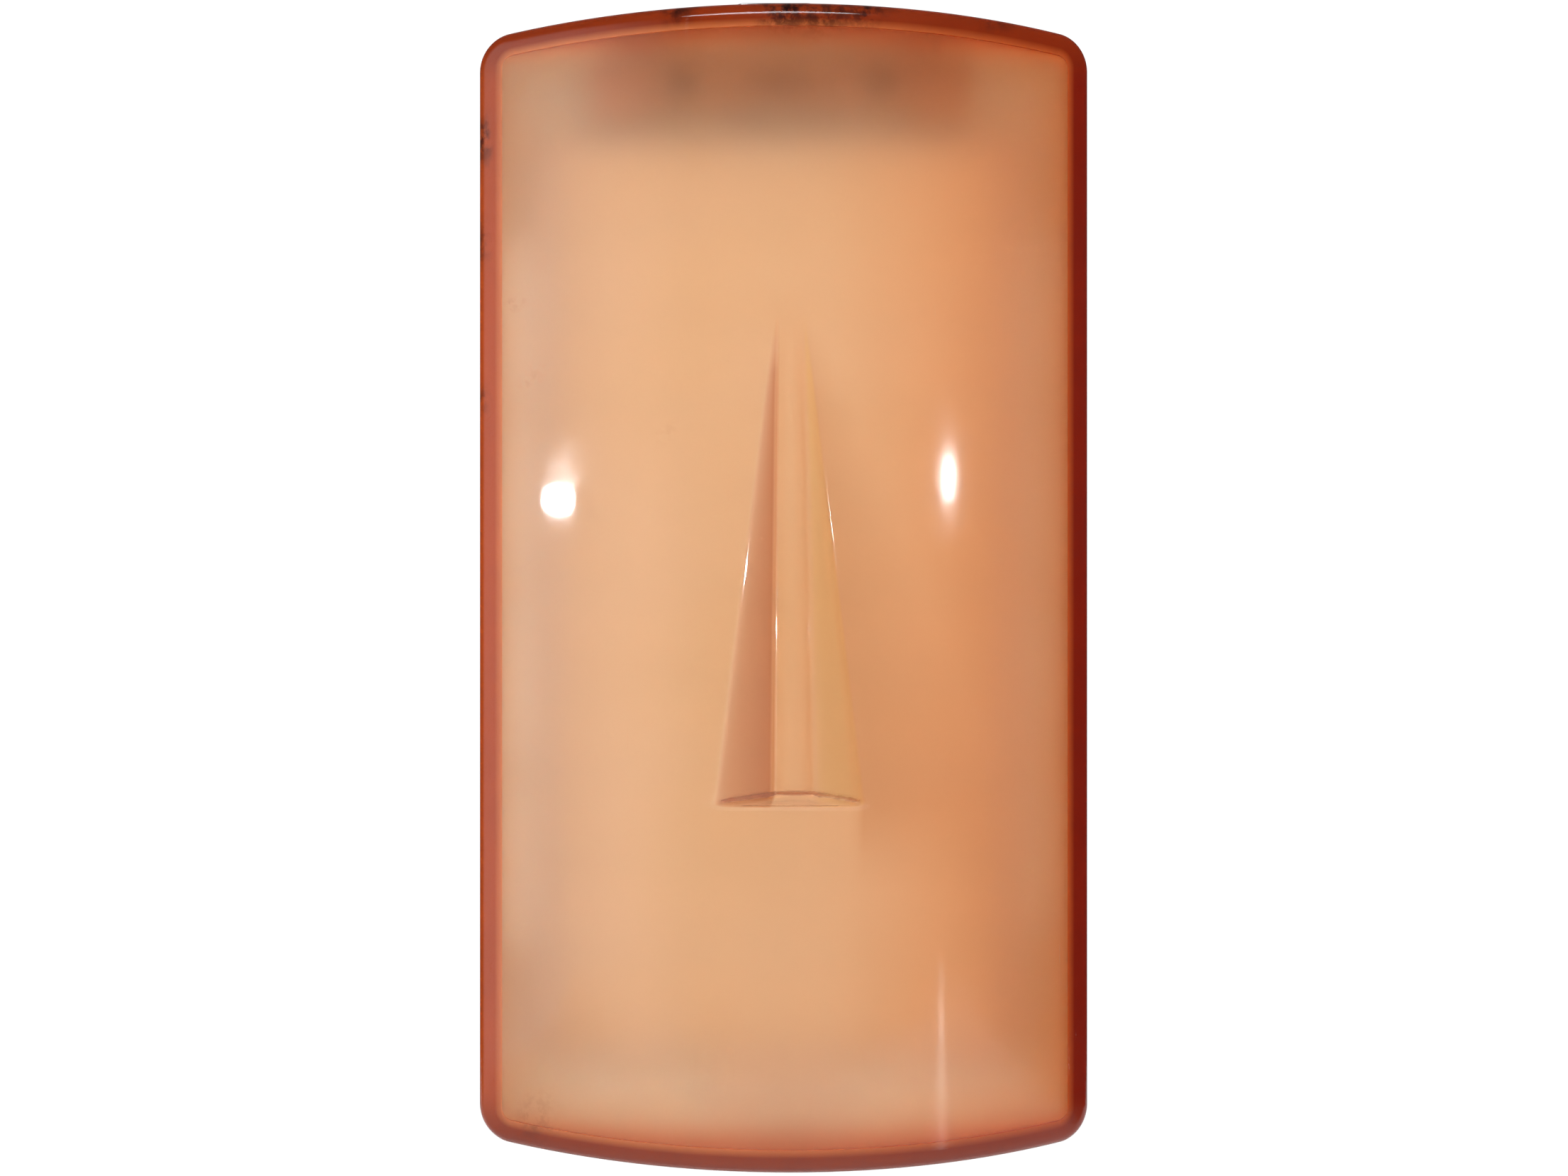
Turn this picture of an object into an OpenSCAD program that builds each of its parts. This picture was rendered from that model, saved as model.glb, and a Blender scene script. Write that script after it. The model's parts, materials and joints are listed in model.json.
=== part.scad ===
// Pheromone insect trap: a pale tray that carries a slide-out sticky board and a plug-in lure,
// closed by a bulged amber cover with a raised wedge on its front. The cover swings up on two pins.
// Frame: +X right, +Z up, the front faces -Y. The tray's back lies on the plane y = 0.

/* [Housing] */
// Overall width of tray and cover
body_w = 130; // [126:1:136]
// Overall height on the centre line
body_h = 242; // [238:1:250]
// Radius of the bowed top and bottom edges
end_r = 570; // [500:10:800]
// Outer corner radius
corner_r = 7.6; // [6.6:0.2:9]
// Thickness of the perimeter walls
wall = 3.8; // [3.4:0.1:4]
// Depth of the tray, from its back to its rim
tray_d = 18; // [18:0.5:20]
// Thickness of the tray's back
back_t = 3; // [2.8:0.1:3.2]

/* [Cover] */
// Depth of the cover's long sides
side_d = 7.6; // [7:0.2:12]
// How far the front bulges across its width
bulge = 18; // [12:1:22]
// Thickness of the front skin
skin = 2; // [1.8:0.1:2.4]
// Gap between the tray's rim and the cover's rim
rim_gap = 0.4; // [0.3:0.05:0.6]

/* [Wedge] */
// Height of the wedge's upper end above the trap's middle
wedge_top = 56; // [48:1:62]
// Height of the wedge's lower end above the trap's middle
wedge_foot = -45; // [-52:1:-38]
// How far the wedge stands out at its foot
wedge_rise = 10; // [7:0.5:12]
// Width of the wedge's base at its foot
wedge_w = 30.5; // [26:0.5:34]
// Width of the flat ridge at the top
ridge_top_w = 4.6; // [4.2:0.2:6]
// Width of the flat ridge at the foot
ridge_foot_w = 7.8; // [7.4:0.2:10]

/* [Sticky board] */
// Width of the board
board_w = 100; // [96:1:100]
// Height of the board above its pull tab
board_h = 204; // [190:1:206]
// Thickness of the card
card_t = 0.8; // [0.6:0.1:1]

/* [Hinge and latch] */
// Radius of the hinge pins
pin_r = 1.5; // [1.4:0.05:1.6]
// Radial play of the pins
pin_play = 0.05; // [0.03:0.01:0.08]
// Width of each hinge knuckle
knuckle_w = 8; // [7:0.5:8]
// Radius of the turn button's hub
hub_r = 4.2; // [4:0.1:4.4]

/* [Hidden] */
$fn = 64;
eps = 0.01;         // overlap that joins two shapes of one piece
corner_steps = 8;   // straight steps in each corner arc
end_steps = 24;     // straight steps in each bowed end

// cover
cover_back = tray_d + rim_gap;
cover_edge = cover_back + side_d;
cover_front = cover_edge + bulge;
bulge_r = (pow(body_w / 2, 2) + pow(bulge, 2)) / (2 * bulge);
bulge_axis = cover_front - bulge_r;
wedge_draft = 1.6;  // how far the ridge ends above the wedge's foot
bar_proud = 1.2;    // how far the ridge bar stands out of the wedge's two slopes

// seal
seal_w = 1.6;
seal_inset = (wall - seal_w) / 2;
seal_seat = 1;      // depth of the groove in the tray's rim
seal_proud = 0.3;   // how far the seal stands out of its groove

// hinge
hinge_y = -9;
hinge_z = body_h / 2 + 2.6;
knuckle_r = 2.8;
ear_play = 0.6;     // room around each ear where it passes the tray's top wall
ear_x = 18.2;       // inner side of each ear on the hinge block
knuckle_play = 0.4; // gap between an ear and its knuckle
knuckle_x = ear_x + knuckle_w + knuckle_play;
web_reach = 17;     // how far each knuckle's web runs forward on the cover's top wall
clip_t = 0.7;
clip_play = 0.1;
pin_head_r = 2.6;
pin_head_t = 1;
pin_end = 0.6;      // how far each pin stands out of its clip

// hinge block
block_w = 82;
block_y0 = back_t;
block_y1 = 14;
block_z0 = 104.5;
block_z1 = body_h / 2 - wall - 1.9;
foot_w = 13;
foot_drop = 2.6;
block_screw_x = 21;
block_screw_z = 110;
screw_r = 1.5;
screw_play = 0.05;
cross = [3, 0.7, 1.6];  // length, width and depth across both faces of a screw's crossed recess

// lure
cage_w = 16;
cage_y0 = 4.6;
cage_y1 = block_y1 + 0.2;
cage_z0 = block_z0 + 0.2;
cage_z1 = block_z1 - 0.2;
cage_wall = 1.2;
socket_play = 0.3;
lid_w = 19;
lid_t = 2.2;
lid_play = 0.15;
lid_plug = 1.5;
septum_r = 2.5;
septum_h = 7.6;
septum_bore_r = 1.3;

// sticky board
board_y = 6;
board_top = 100;
tab_w = 30;
tab_foot = -body_h / 2 - 5;
glue_t = 0.3;
glue_margin = 3.5;
rail_x0 = board_w / 2 - 2;
rail_x1 = board_w / 2 + 4;
rail_lip = 2;
rail_play = 0.3;
slot_play = 0.8;    // room round the board where it passes the tray's bottom wall
rail_z0 = -100;
rail_z1 = 98;

// entry grilles
window_z = 78;
window_y0 = 7.4;
window_y1 = 15;
grille_x0 = body_w / 2 - wall + 0.4;
grille_t = 2.4;
grille_frame = 0.9;
grille_bays = 4;
bar_w = 2.4;
bay_pitch = (2 * window_z - bar_w) / grille_bays;

// drain slots in the tray's bottom
drain_x = 56.5;
drain_y = 9.5;
drain_w = 5;
drain_t = 2;

// mounts
wall_hole_x = 40;
wall_hole_z = 90;
wall_hole_r = 2.1;
plate_w = 22;
plate_t = 1.5;
plate_round = 4;
plate_z0 = 93;
plate_z1 = body_h / 2 + 10;
hang_hole_r = 2;
hang_hole_z = body_h / 2 + 6.2;
rivet_x = 6;
rivet_z = 97;
rivet_r = 1.5;
rivet_head_r = 2.6;
rivet_head_t = 0.8;

// latch
button_y = -13;
lip_r0 = 9.5;
lip_r1 = 11.7;
lip_angle = 22;
button_z0 = -body_h / 2 - 5;
button_z1 = -body_h / 2 - 0.4;
lip_z1 = -body_h / 2 - 0.7;
arm_t = 2;
lug_w = 8;
lug_y0 = 19.4;
lug_y1 = 21.2;
lug_z = -body_h / 2 - 2.6;
head_r = 2.8;
head_t = 1.4;
washer_r = 3.4;
washer_t = 0.3;

// Points of an arc in the XZ plane, from angle a to angle b, leaving out `skip` points at each end
function arc(cx, cz, r, a, b, n, skip = 0) =
    [for (k = [skip:n - skip]) let(t = a + (b - a) * k / n) [cx + r * cos(t), cz + r * sin(t)]];

// The trap's outline moved inwards: straight long sides, bowed ends and round corners
function outline(inset) =
    let(
        hw = body_w / 2 - inset,
        r = end_r - inset,
        c = corner_r - inset,
        ez = body_h / 2 - end_r,
        cx = hw - c,
        cz = ez + sqrt(pow(r - c, 2) - pow(cx, 2)),
        a = atan2(cz - ez, cx),
        top = concat(
            arc(cx, cz, c, 0, a, corner_steps),
            arc(0, ez, r, a, 180 - a, end_steps, 1),
            arc(-cx, cz, c, 180 - a, 180, corner_steps)
        )
    )
    concat(top, [for (p = top) -p]);

// Extrudes a shape in the XZ plane from one depth behind the front to another
module slab(d0, d1) {
    translate([0, -d0, 0]) rotate([90, 0, 0]) linear_extrude(d1 - d0) children();
}

module body_slab(inset, d0, d1) {
    slab(d0, d1) polygon(outline(inset));
}

// A block given by its lowest and highest X, depth and Z
module block(x, d, z) {
    translate([x[0], -d[1], z[0]]) cube([x[1] - x[0], d[1] - d[0], z[1] - z[0]]);
}

module rod_x(r, x0, x1, y, z) {
    translate([x0, y, z]) rotate([0, 90, 0]) cylinder(r = r, h = x1 - x0);
}

module rod_y(r, d0, d1, x, z) {
    translate([x, -d0, z]) rotate([90, 0, 0]) cylinder(r = r, h = d1 - d0);
}

module both_sides() {
    children();
    mirror([1, 0, 0]) children();
}

// ---- tray ----

module tray_cuts() {
    both_sides() {
        block([body_w / 2 - wall - 1, body_w / 2 + 1], [window_y0, window_y1], [-window_z, window_z]);
        block(
            [ear_x - 0.4, ear_x + knuckle_w + 0.4],
            [-hinge_y - knuckle_r - ear_play, -hinge_y + knuckle_r + ear_play],
            [body_h / 2 - wall - 2, body_h / 2 + 1]
        );
        block(
            [drain_x - drain_w / 2, drain_x + drain_w / 2],
            [drain_y, drain_y + drain_t],
            [-body_h / 2 - 1, -body_h / 2 + wall + 5]
        );
        rod_y(rivet_r, -1, back_t + 1, rivet_x, rivet_z);
        rod_y(screw_r + screw_play, 0.8, back_t + 1, block_screw_x, block_screw_z);
        for (z = [-wall_hole_z, wall_hole_z]) rod_y(wall_hole_r, -1, back_t + 1, wall_hole_x, z);
    }
    block([-plate_w / 2, plate_w / 2], [-1, plate_t], [plate_z0, body_h]);
    block(
        [-board_w / 2 - slot_play, board_w / 2 + slot_play],
        [board_y - slot_play, board_y + card_t + slot_play],
        [-body_h / 2 - 1, -body_h / 2 + wall + 5]
    );
    translate([0, button_y, -body_h / 2 - 1]) cylinder(r = screw_r + screw_play, h = wall + 2);
}

module tray_shell() {
    color([0.93, 0.91, 0.86]) difference() {
        body_slab(0, 0, tray_d);
        body_slab(wall, back_t, tray_d + 1);
        difference() {
            body_slab(seal_inset, tray_d - seal_seat, tray_d + 1);
            body_slab(seal_inset + seal_w, tray_d - seal_seat - 1, tray_d + 2);
        }
        tray_cuts();
    }
}

module rim_seal() {
    color([0.86, 0.74, 0.58]) difference() {
        body_slab(seal_inset, tray_d - seal_seat, tray_d + seal_proud);
        body_slab(seal_inset + seal_w, tray_d - seal_seat - 1, tray_d + 1);
    }
}

module entry_grille() {
    color([0.88, 0.86, 0.8]) difference() {
        block([grille_x0, grille_x0 + grille_t], [window_y0, window_y1], [-window_z, window_z]);
        for (k = [0:grille_bays - 1]) {
            z0 = -window_z + bar_w + k * bay_pitch;
            block(
                [grille_x0 - 1, grille_x0 + grille_t + 1],
                [window_y0 + grille_frame, window_y1 - grille_frame],
                [z0, z0 + bay_pitch - bar_w]
            );
        }
    }
}

module board_rail() {
    slot_y0 = board_y - rail_play;
    slot_y1 = board_y + card_t + rail_play;
    color([0.9, 0.88, 0.83]) difference() {
        block([rail_x0, rail_x1], [back_t, slot_y1 + rail_lip], [rail_z0, rail_z1]);
        block([rail_x0 - 1, board_w / 2 + 0.4], [slot_y0, slot_y1], [rail_z0 - 1, rail_z1 + 1]);
    }
}

// ---- hanging plate ----

module hanger_plate() {
    color([0.72, 0.73, 0.74]) difference() {
        union() {
            block([-plate_w / 2, plate_w / 2], [0, plate_t], [plate_z0, plate_z1 - plate_round]);
            block([-plate_w / 2 + plate_round, plate_w / 2 - plate_round], [0, plate_t],
                [plate_z0, plate_z1]);
            both_sides() rod_y(plate_round, 0, plate_t, plate_w / 2 - plate_round, plate_z1 - plate_round);
        }
        rod_y(hang_hole_r, -1, plate_t + 1, 0, hang_hole_z);
        both_sides() rod_y(rivet_r, -1, plate_t + 1, rivet_x, rivet_z);
    }
}

module hanger_rivets() {
    color([0.75, 0.75, 0.76]) both_sides() {
        rod_y(rivet_r, 0, back_t + eps, rivet_x, rivet_z);
        rod_y(rivet_head_r, back_t, back_t + rivet_head_t, rivet_x, rivet_z);
    }
}

// ---- hinge block ----

// The pocket that the lure cage slides into, open to the front
module lure_pocket() {
    block(
        [-cage_w / 2 - socket_play, cage_w / 2 + socket_play],
        [cage_y0 - socket_play, block_y1 + 1],
        [block_z0 - 1, block_z1 + 1]
    );
}

module hinge_ear() {
    block([ear_x, ear_x + knuckle_w], [-hinge_y - knuckle_r, -hinge_y + knuckle_r],
        [block_z1 - 2, hinge_z]);
    rod_x(knuckle_r, ear_x, ear_x + knuckle_w, hinge_y, hinge_z);
}

module hinge_block() {
    color([0.56, 0.38, 0.28]) difference() {
        union() {
            block([-block_w / 2, block_w / 2], [block_y0, block_y1], [block_z0, block_z1]);
            both_sides() {
                block([block_w / 2 - foot_w, block_w / 2], [8, block_y1],
                    [block_z0 - foot_drop, block_z0 + 1]);
                hinge_ear();
            }
        }
        lure_pocket();
        both_sides() {
            rod_x(pin_r + pin_play, ear_x - 1, ear_x + knuckle_w + 1, hinge_y, hinge_z);
            rod_y(screw_r + screw_play, block_y0 - 1, block_y1 + 1, block_screw_x, block_screw_z);
        }
    }
}

module hinge_block_screws() {
    color([0.13, 0.12, 0.12]) both_sides() {
        rod_y(screw_r, 1, block_y1 + eps, block_screw_x, block_screw_z);
        difference() {
            rod_y(head_r, block_y1, block_y1 + head_t, block_screw_x, block_screw_z);
            screw_cross();
        }
    }
}

// The crossed recess of a pan head, cut into a head whose top lies at the given place
module screw_cross() {
    for (size = [[cross[0], cross[2], cross[1]], [cross[1], cross[2], cross[0]]])
        translate([block_screw_x, -block_y1 - head_t, block_screw_z]) cube(size, center = true);
}

module hinge_pins() {
    color([0.75, 0.76, 0.78]) both_sides() {
        head_x = knuckle_x + knuckle_w + 0.2;
        rod_x(pin_r, ear_x - clip_t - pin_end, head_x, hinge_y, hinge_z);
        rod_x(pin_head_r, head_x, head_x + pin_head_t, hinge_y, hinge_z);
    }
}

module pin_clips() {
    color([0.6, 0.6, 0.62]) both_sides() difference() {
        rod_x(knuckle_r - 0.1, ear_x - clip_t - clip_play, ear_x - clip_play, hinge_y, hinge_z);
        rod_x(pin_r, ear_x - 2, ear_x + 1, hinge_y, hinge_z);
    }
}

// ---- cover ----

module bulge_rod(r) {
    translate([0, -bulge_axis, -body_h]) cylinder(r = r, h = 2 * body_h);
}

// A wedge with a flat ridge: half-widths of base and ridge at the top and foot, depths and heights
module wedge(base, ridge, deep, z, draft) {
    points = [
        [-base[0], -deep[0], z[1]], [base[0], -deep[0], z[1]],
        [base[1], -deep[0], z[0]], [-base[1], -deep[0], z[0]],
        [-ridge[0], -deep[1], z[1]], [ridge[0], -deep[1], z[1]],
        [ridge[1], -deep[2], z[0] + draft], [-ridge[1], -deep[2], z[0] + draft]
    ];
    faces = [
        [3, 2, 1], [3, 1, 0], [4, 5, 6], [4, 6, 7], [0, 1, 5], [0, 5, 4],
        [7, 6, 2], [7, 2, 3], [0, 4, 7], [0, 7, 3], [1, 2, 6], [1, 6, 5]
    ];
    polyhedron(points, faces);
}

// The web that joins a hinge knuckle to the cover's top wall
module knuckle_web() {
    y = hinge_y;
    top = body_h / 2;
    profile = [
        [y, hinge_z + knuckle_r], [y - 7, hinge_z + 0.8],
        [y - web_reach, top - 1.2], [y - web_reach, top - 3],
        [-cover_back, top - 3], [-cover_back, hinge_z - knuckle_r], [y, hinge_z - knuckle_r]
    ];
    translate([knuckle_x, 0, 0]) rotate([90, 0, 90]) linear_extrude(knuckle_w) polygon(profile);
}

module cover_shell() {
    color([0.86, 0.52, 0.3, 0.85]) difference() {
        union() {
            intersection() {
                body_slab(0, cover_back, cover_front + 1);
                bulge_rod(bulge_r);
            }
            wedge(
                [ridge_top_w / 2 + 0.6, wedge_w / 2],
                [ridge_top_w / 2 + 0.3, ridge_foot_w / 2 + 1],
                [cover_front - 1.4, cover_front - 0.3, cover_front + wedge_rise - bar_proud],
                [wedge_foot, wedge_top],
                wedge_draft
            );
            wedge(
                [ridge_top_w / 2 + 0.2, ridge_foot_w / 2 + 0.5],
                [ridge_top_w / 2, ridge_foot_w / 2],
                [cover_front - 1.4, cover_front, cover_front + wedge_rise],
                [wedge_foot, wedge_top],
                wedge_draft
            );
            both_sides() {
                knuckle_web();
                rod_x(knuckle_r, knuckle_x, knuckle_x + knuckle_w, hinge_y, hinge_z);
            }
            block([-lug_w / 2, lug_w / 2], [lug_y0, lug_y1], [lug_z, -body_h / 2 + 2]);
        }
        intersection() {
            body_slab(wall, cover_back - 1, cover_front);
            bulge_rod(bulge_r - skin);
        }
        wedge(
            [ridge_top_w / 2 - 1, wedge_w / 2 - 1.2],
            [ridge_top_w / 2 - 1.2, ridge_foot_w / 2 - 1.6],
            [cover_front - skin - 2, cover_front - skin, cover_front + wedge_rise - skin],
            [wedge_foot + skin, wedge_top - 3],
            wedge_draft
        );
        both_sides() rod_x(pin_r + pin_play, knuckle_x - 1, knuckle_x + knuckle_w + 1, hinge_y, hinge_z);
    }
}

// ---- latch ----

module latch_button() {
    color([0.56, 0.38, 0.28]) difference() {
        translate([0, button_y, 0]) union() {
            translate([0, 0, button_z0]) cylinder(r = hub_r, h = button_z1 - button_z0);
            translate([0, -3, button_z0]) cube([lip_r0 + 0.6, 6, arm_t]);
            translate([0, 0, button_z0]) rotate([0, 0, -lip_angle])
                rotate_extrude(angle = 2 * lip_angle)
                    translate([lip_r0, 0]) square([lip_r1 - lip_r0, lip_z1 - button_z0]);
        }
        translate([0, button_y, button_z0 - 1]) {
            cylinder(r = screw_r + 0.1, h = body_h);
            cylinder(r = head_r + 0.2, h = head_t + 1.2);
        }
    }
}

module latch_screw() {
    color([0.75, 0.76, 0.78]) translate([0, button_y, button_z0 + 0.1]) difference() {
        union() {
            cylinder(r = head_r, h = head_t);
            cylinder(r = screw_r, h = 8.2);
        }
        for (size = [cross, [cross[1], cross[0], cross[2]]]) cube(size, center = true);
    }
}

module latch_washer() {
    color([0.75, 0.76, 0.78]) translate([0, button_y, button_z1 + 0.05]) difference() {
        cylinder(r = washer_r, h = washer_t);
        translate([0, 0, -1]) cylinder(r = screw_r + screw_play, h = 3);
    }
}

// ---- sticky board ----

module sticky_board() {
    color([0.96, 0.95, 0.9]) union() {
        block([-board_w / 2, board_w / 2], [board_y, board_y + card_t], [board_top - board_h, board_top]);
        block([-tab_w / 2, tab_w / 2], [board_y, board_y + card_t], [tab_foot, board_top - board_h + 1]);
    }
}

module glue_film() {
    glue_w = board_w / 2 - glue_margin;
    color([0.95, 0.93, 0.78]) block(
        [-glue_w, glue_w],
        [board_y + card_t, board_y + card_t + glue_t],
        [board_top - board_h + glue_margin, board_top - glue_margin]
    );
}

// ---- lure ----

module lure_cage() {
    color([0.95, 0.94, 0.9]) difference() {
        block([-cage_w / 2, cage_w / 2], [cage_y0, cage_y1], [cage_z0, cage_z1]);
        block(
            [-cage_w / 2 + cage_wall, cage_w / 2 - cage_wall],
            [cage_y0 + cage_wall, cage_y1 + 1],
            [cage_z0 + cage_wall, cage_z1 - cage_wall]
        );
        plume_slots([cage_y0 + 2.6, cage_y1 - 2.4], [cage_z0 - 1, cage_z0 + cage_wall + 1]);
    }
}

// Three slots side by side that let the scent out, cut over the given depth and height
module plume_slots(d, z) {
    slots = 3;
    pitch = 4.2;
    for (k = [0:slots - 1]) {
        x = (k - (slots - 1) / 2) * pitch;
        block([x - 1, x + 1], d, z);
    }
}

module lure_lid() {
    plug_w = cage_w / 2 - cage_wall - lid_play;
    lid_y = cage_y1 + lid_play;
    color([0.56, 0.38, 0.28]) difference() {
        union() {
            block([-lid_w / 2, lid_w / 2], [lid_y, lid_y + lid_t], [cage_z0, cage_z1]);
            block([-lid_w / 2, lid_w / 2], [lid_y, lid_y + 2 * lid_t], [cage_z0, cage_z0 + 1.4]);
            block(
                [-plug_w, plug_w],
                [lid_y - lid_plug, lid_y + eps],
                [cage_z0 + cage_wall + lid_play, cage_z1 - cage_wall - lid_play]
            );
        }
        plume_slots([lid_y - lid_plug - 1, lid_y + lid_t + 1], [cage_z0 + 3, cage_z1 - 2.4]);
    }
}

module lure_septum() {
    collar = 2.2;   // height of the thicker collar at the septum's mouth
    y = cage_y0 + cage_wall + septum_r + 0.6;
    color([0.62, 0.24, 0.16]) translate([0, -y, cage_z0 + cage_wall + 0.1]) difference() {
        union() {
            cylinder(r = septum_r, h = septum_h);
            translate([0, 0, septum_h - collar]) cylinder(r = septum_r + 0.15, h = collar);
        }
        translate([0, 0, septum_h / 2]) cylinder(r = septum_bore_r, h = septum_h);
    }
}

tray_shell();
hanger_plate();
hanger_rivets();
hinge_block();
hinge_block_screws();
hinge_pins();
pin_clips();
mirror([1, 0, 0]) board_rail();  // board_rail_left
board_rail();  // board_rail_right
mirror([1, 0, 0]) entry_grille();  // entry_grille_left
entry_grille();  // entry_grille_right
rim_seal();
latch_screw();
latch_washer();
cover_shell();
latch_button();
sticky_board();
glue_film();
lure_cage();
lure_lid();
lure_septum();
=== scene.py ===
import json
import math

import bpy
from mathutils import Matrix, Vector


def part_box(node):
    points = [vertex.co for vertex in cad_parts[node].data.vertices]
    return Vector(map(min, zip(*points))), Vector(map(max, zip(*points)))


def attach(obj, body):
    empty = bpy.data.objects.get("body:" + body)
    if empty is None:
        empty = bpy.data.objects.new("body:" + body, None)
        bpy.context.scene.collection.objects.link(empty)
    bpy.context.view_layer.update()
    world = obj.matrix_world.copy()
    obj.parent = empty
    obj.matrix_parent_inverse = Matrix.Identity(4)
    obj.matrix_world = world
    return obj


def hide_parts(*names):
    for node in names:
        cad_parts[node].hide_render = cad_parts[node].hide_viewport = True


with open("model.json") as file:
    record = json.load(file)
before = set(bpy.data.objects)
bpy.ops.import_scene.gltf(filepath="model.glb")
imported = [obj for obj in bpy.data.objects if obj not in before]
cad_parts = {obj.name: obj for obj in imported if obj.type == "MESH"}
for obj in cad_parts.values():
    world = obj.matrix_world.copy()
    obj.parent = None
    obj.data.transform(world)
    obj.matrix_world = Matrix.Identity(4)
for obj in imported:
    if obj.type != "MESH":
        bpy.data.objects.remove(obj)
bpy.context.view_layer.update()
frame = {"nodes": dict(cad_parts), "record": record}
print("frame loaded, nodes:", len(frame["nodes"]))

mm = 0.001
mergeDistance = 0.002 * mm
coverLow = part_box("cover_shell")[0]
trayLow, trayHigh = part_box("tray_shell")
pinLow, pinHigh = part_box("hinge_pins")

# the cover's sizes; its width, height and depth come from the frame
coverShape = {
    "halfWidth": trayHigh.x,
    "halfHeight": trayHigh.z,
    "front": -coverLow.y - 10 * mm,
    "back": -trayLow.y + 0.4 * mm,
    "endRadius": 570 * mm,
    "cornerRadius": 7.6 * mm,
    "bulge": 18 * mm,
    "skin": 2 * mm,
    "wall": 3.8 * mm,
    "edgeRound": 2.6 * mm,
    "innerRound": 1.4 * mm,
    "rimRound": 0.4 * mm,
    "cornerSteps": 6,
    "roundSteps": 6,
}
wedgeShape = {
    "top": 56 * mm,
    "foot": -45 * mm,
    "rise": -coverLow.y - coverShape["front"],
    "draft": 2.8 * mm,
    "footWall": 0.8 * mm,
    "barProud": 0.7 * mm,
    "barHalf": (2.1 * mm, 3.8 * mm),
    "barFlare": 0.5 * mm,
    "barSteepness": 1.5,
    "baseHalf": (3.0 * mm, 15.2 * mm),
    "soften": 0.8 * mm,
    "footSoften": 2.4 * mm,
    "footBlend": 1.8 * mm,
    "footReach": 4 * mm,
    "innerSoften": 2.4 * mm,
}
coverHinge = {
    "axis": (-pinLow.y + -pinHigh.y) / 2,
    "height": (pinLow.z + pinHigh.z) / 2,
    "radius": 2.8 * mm,
    "bore": 1.55 * mm,
    "inner": 26.6 * mm,
    "width": 8 * mm,
    "webReach": 17 * mm,
    "webShoulder": (7 * mm, 0.8 * mm),
    "webDrop": (1.3 * mm, 2.2 * mm),
    "webStart": 0.2 * mm,
    "edgeRound": 0.35 * mm,
    "lugWidth": 8 * mm,
    "lugDepth": (19.4 * mm, 21.2 * mm),
    "lugClear": 0.02 * mm,
    "lugSink": 0.4 * mm,
    "lugRound": 0.4 * mm,
}


def deselectAll():
    if bpy.context.object and bpy.context.object.mode != "OBJECT":
        bpy.ops.object.mode_set(mode="OBJECT")
    bpy.ops.object.select_all(action="DESELECT")


def makeActive(piece):
    deselectAll()
    piece.select_set(True)
    bpy.context.view_layer.objects.active = piece


def bakePlace(piece):
    makeActive(piece)
    bpy.ops.object.transform_apply(location=True, rotation=True, scale=True)


def applyModifiers(piece):
    makeActive(piece)
    for modifier in list(piece.modifiers):
        bpy.ops.object.modifier_apply(modifier=modifier.name)


def addModifier(piece, kind, **settings):
    modifier = piece.modifiers.new(kind.title(), kind)
    for name, value in settings.items():
        setattr(modifier, name, value)


def newPiece(name):
    piece = bpy.context.object
    piece.name = name
    piece.data.name = name
    return piece


def tidyMesh(piece):
    makeActive(piece)
    bpy.ops.object.mode_set(mode="EDIT")
    bpy.ops.mesh.select_all(action="SELECT")
    bpy.ops.mesh.remove_doubles(threshold=mergeDistance)
    bpy.ops.mesh.normals_make_consistent(inside=False)
    bpy.ops.object.mode_set(mode="OBJECT")


def joinPieces(pieces, name):
    makeActive(pieces[0])
    for piece in pieces[1:]:
        piece.select_set(True)
    bpy.ops.object.join()
    return newPiece(name)


def smoothByAngle(piece, degrees=35):
    makeActive(piece)
    bpy.ops.object.shade_smooth_by_angle(angle=math.radians(degrees))


def setMaterial(piece, material):
    piece.data.materials.clear()
    piece.data.materials.append(material)


def place(piece, body, material):
    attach(piece, body)
    setMaterial(piece, material)


def mix(a, b, t):
    return a + (b - a) * t


def clamp(value, low=0.0, high=1.0):
    return max(low, min(high, value))


def softMin(a, b, reach):
    blend = max(reach - abs(a - b), 0) / reach
    return min(a, b) - blend * blend * reach / 4


def softMax(a, b, reach):
    return -softMin(-a, -b, reach)


# shader node groups that several finishes share

def newGroup(name, inputs, outputs):
    group = bpy.data.node_groups.new(name, "ShaderNodeTree")
    for label, value in inputs.items():
        socket = group.interface.new_socket(name=label, in_out="INPUT", socket_type="NodeSocketFloat")
        socket.default_value = value
    for label in outputs:
        group.interface.new_socket(name=label, in_out="OUTPUT", socket_type="NodeSocketFloat")
    start = group.nodes.new("NodeGroupInput")
    end = group.nodes.new("NodeGroupOutput")
    return group, start, end


def addNode(tree, kind, **settings):
    node = tree.nodes.new("ShaderNode" + kind)
    for name, value in settings.items():
        setattr(node, name, value)
    return node


def mathNode(tree, operation, first, second=None, clampResult=False):
    node = addNode(tree, "Math", operation=operation, use_clamp=clampResult)
    for index, value in enumerate((first, second)):
        if value is None:
            continue
        if isinstance(value, (int, float)):
            node.inputs[index].default_value = value
        else:
            tree.links.new(value, node.inputs[index])
    return node.outputs["Value"]


def rampNode(tree, source, low, high, outLow=0.0, outHigh=1.0):
    node = addNode(tree, "MapRange", interpolation_type="SMOOTHSTEP")
    tree.links.new(source, node.inputs["Value"])
    for name, value in (("From Min", low), ("From Max", high), ("To Min", outLow), ("To Max", outHigh)):
        if isinstance(value, (int, float)):
            node.inputs[name].default_value = value
        else:
            tree.links.new(value, node.inputs[name])
    return node.outputs["Result"]


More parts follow.
